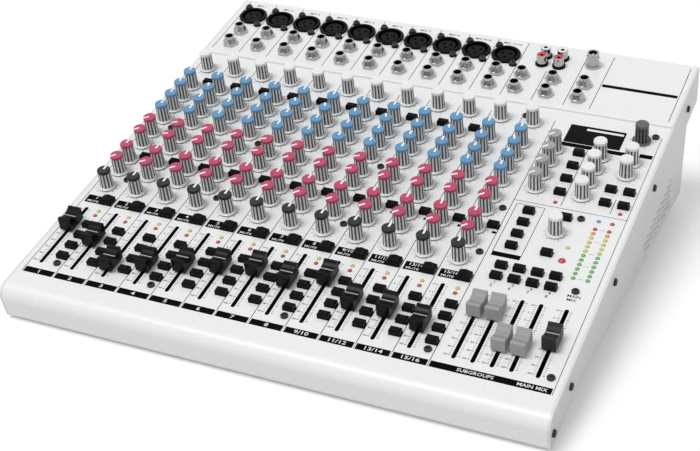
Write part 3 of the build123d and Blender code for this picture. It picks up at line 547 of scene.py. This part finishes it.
def ticks(x, y):
    """A ring of short marks round a knob, open at the bottom."""
    for k in range(11):
        a = math.radians(-150 + 30 * k)
        inner, outer = 7.7, (9.1 if k % 5 == 0 else 8.7)
        print_and_slot_shade.line((x + inner * math.sin(a), y + inner * math.cos(a)),
                      (x + outer * math.sin(a), y + outer * math.cos(a)), 0.36, INK, black_ink_and_shade)


for _, _, rows in channel_rows.values():
    for row, _ in rows:
        for i in range(CHANNELS):
            ticks(strip_x(i, KNOB_OFFSET), row)
for x, y, _, _ in master_knobs.values():
    ticks(MASTER + x, y)

# master section: bars, dividing lines, and the words and numbers at its buttons and meter
BAR_HALF = 2.3
for x0, x1, y in ((317.3, 340.8, 249.0), (341.9, 367.1, 248.3), (376.0, 385.5, 250.0), (308.3, 328.7, 115.6)):
    print_and_slot_shade.quad(FIRST + x0, y - BAR_HALF, FIRST + x1, y + BAR_HALF, INK, black_ink_and_shade)
for x0, y0, x1, y1 in ((338.3, 178.0, 338.3, 246.0), (304.8, 175.2, 386.5, 175.2),
                       (373.4, 179.1, 373.4, 195.3), (308.3, 117.3, 308.3, 172.0),
                       (328.7, 117.3, 328.7, 172.0), (308.3, 172.0, 328.7, 172.0)):
    print_and_slot_shade.line((FIRST + x0, y0), (FIRST + x1, y1), 0.45, INK, ink_grey)
for i in range(4):
    x = MASTER + 14.3 + 12.7 * i
    words(print_and_slot_shade, str(i + 1), x + 0.6, 87.9, 2.6, INK, ink_grey)
    words(print_and_slot_shade, str(i + 5), x - 0.6, 84.3, 2.6, INK, ink_grey)
words(print_and_slot_shade, "MAIN", MASTER + 69.2, 89.3, 2.4, INK, ink_grey, 1.1)
words(print_and_slot_shade, "MIX", MASTER + 68.4, 85.6, 2.4, INK, ink_grey, 1.1)
METER_MARKS = 5
for i in range(METER_MARKS):
    level = METER_FIRST_Y + METER_PITCH * (METER_LAMPS - 1) * i / (METER_MARKS - 1)
    print_and_slot_shade.line((MASTER + 66.6, level), (MASTER + 70.3, level), 0.25, INK, ink_grey)

# connector panel
POD_LOW, POD_HIGH = 294.0, 370.0
line_ends = {11: 335.0, 12: 365.0}      # two lines stop early, the first of them below the phono sockets
for k in range(CHANNELS + 1):
    x = FIRST + k * STRIP
    print_and_slot_shade.line((x, POD_LOW), (x, line_ends.get(k, POD_HIGH)), LINE, POD + INK, ink_grey)
for x in (325.5, 386.5):
    print_and_slot_shade.line((FIRST + x, POD_LOW), (FIRST + x, 368.0), LINE, POD + INK, ink_grey)
mics = [f"MIC {i + 1}" for i in range(8)] + ["MIC 9/10", "MIC 11/12"]
for i, label in enumerate(mics):
    words(print_and_slot_shade, label, strip_x(i, STRIP / 2), 365.8, 2.3, POD + INK, black_ink_and_shade, 1.1)
print_and_slot_shade.quad(FIRST + 326.6, 325.4, FIRST + 385.4, 329.2, POD + INK, black_ink_and_shade)
# the display's own bare label bar
DISPLAY_X, DISPLAY_Y, DISPLAY_Z = MASTER + 34.3, 263.0, 0.4
print_and_slot_shade.quad(DISPLAY_X - 8.1, DISPLAY_Y + 5.9, DISPLAY_X + 20.0, DISPLAY_Y + 8.3, DISPLAY_Z + INK, ink_white)
print_and_slot_shade.finish_piece()


# ---------------------------------------------------------------- stage, light and camera
FLOOR_HALF = 6.0
FLOOR_DROP = 0.0005         # keeps the floor clear of the feet
FLOOR_PALE = (0.84, 0.84, 0.84, 1)
FLOOR_LIFT = 0.22           # brings the floor the camera sees up to the background's white


def stage_floor():
    mesh = bpy.data.meshes.new("floor")
    signs = ((-1, -1), (1, -1), (1, 1), (-1, 1))
    corners = [(sx * FLOOR_HALF, sy * FLOOR_HALF, -FLOOR_DROP) for sx, sy in signs]
    mesh.from_pydata(corners, [], [(0, 1, 2, 3)])
    floor = bpy.data.objects.new("floor", mesh)
    bpy.context.scene.collection.objects.link(floor)
    paper = bpy.data.materials.new("floor_paper")
    paper.use_nodes = True
    tree = paper.node_tree
    shader = tree.nodes["Principled BSDF"]
    shader.inputs["Base Color"].default_value = FLOOR_PALE
    shader.inputs["Roughness"].default_value = 0.9
    shader.inputs["Specular IOR Level"].default_value = 0.0
    shader.inputs["Emission Color"].default_value = (1, 1, 1, 1)
    rays = tree.nodes.new("ShaderNodeLightPath")
    lift = tree.nodes.new("ShaderNodeMath")
    lift.operation = "MULTIPLY"
    lift.inputs[1].default_value = FLOOR_LIFT
    tree.links.new(rays.outputs["Is Camera Ray"], lift.inputs[0])
    tree.links.new(lift.outputs["Value"], shader.inputs["Emission Strength"])
    mesh.materials.append(paper)


def white_world(fill):
    """Even light of the given strength, and a plain white background to the camera and in reflections."""
    world = bpy.data.worlds.new("studio")
    bpy.context.scene.world = world
    world.use_nodes = True
    tree = world.node_tree
    background = tree.nodes["Background"]
    rays = tree.nodes.new("ShaderNodeLightPath")
    seen = rays.outputs["Is Camera Ray"]
    for kind in ("Is Transmission Ray", "Is Glossy Ray"):
        either = tree.nodes.new("ShaderNodeMath")
        either.operation = "MAXIMUM"
        tree.links.new(seen, either.inputs[0])
        tree.links.new(rays.outputs[kind], either.inputs[1])
        seen = either.outputs["Value"]
    level = tree.nodes.new("ShaderNodeMapRange")
    level.inputs["To Min"].default_value = fill
    level.inputs["To Max"].default_value = 1.0
    tree.links.new(seen, level.inputs["Value"])
    tree.links.new(level.outputs["Result"], background.inputs["Strength"])
    background.inputs["Color"].default_value = (1, 1, 1, 1)


def soft_sun(direction, strength, spread_deg):
    data = bpy.data.lights.new("key", "SUN")
    data.energy = strength
    data.angle = math.radians(spread_deg)
    sun = bpy.data.objects.new("key", data)
    sun.rotation_mode = "QUATERNION"
    sun.rotation_quaternion = (-Vector(direction)).to_track_quat("-Z", "Y")
    bpy.context.scene.collection.objects.link(sun)


def place_camera(location, angles_deg, focal_length):
    data = bpy.data.cameras.new("camera")
    data.lens = focal_length
    data.sensor_width = 36.0
    data.sensor_fit = "HORIZONTAL"
    camera = bpy.data.objects.new("camera", data)
    camera.location = location
    camera.rotation_euler = [math.radians(a) for a in angles_deg]
    bpy.context.scene.collection.objects.link(camera)
    bpy.context.scene.camera = camera


stage_floor()
white_world(0.52)
soft_sun((-0.26, -0.34, 0.90), 1.5, 25.0)
place_camera((0.3780, -0.9013, 0.5451), (61.83, 0.17, 23.61), 75.38)
bpy.context.scene.view_settings.view_transform = "Standard"
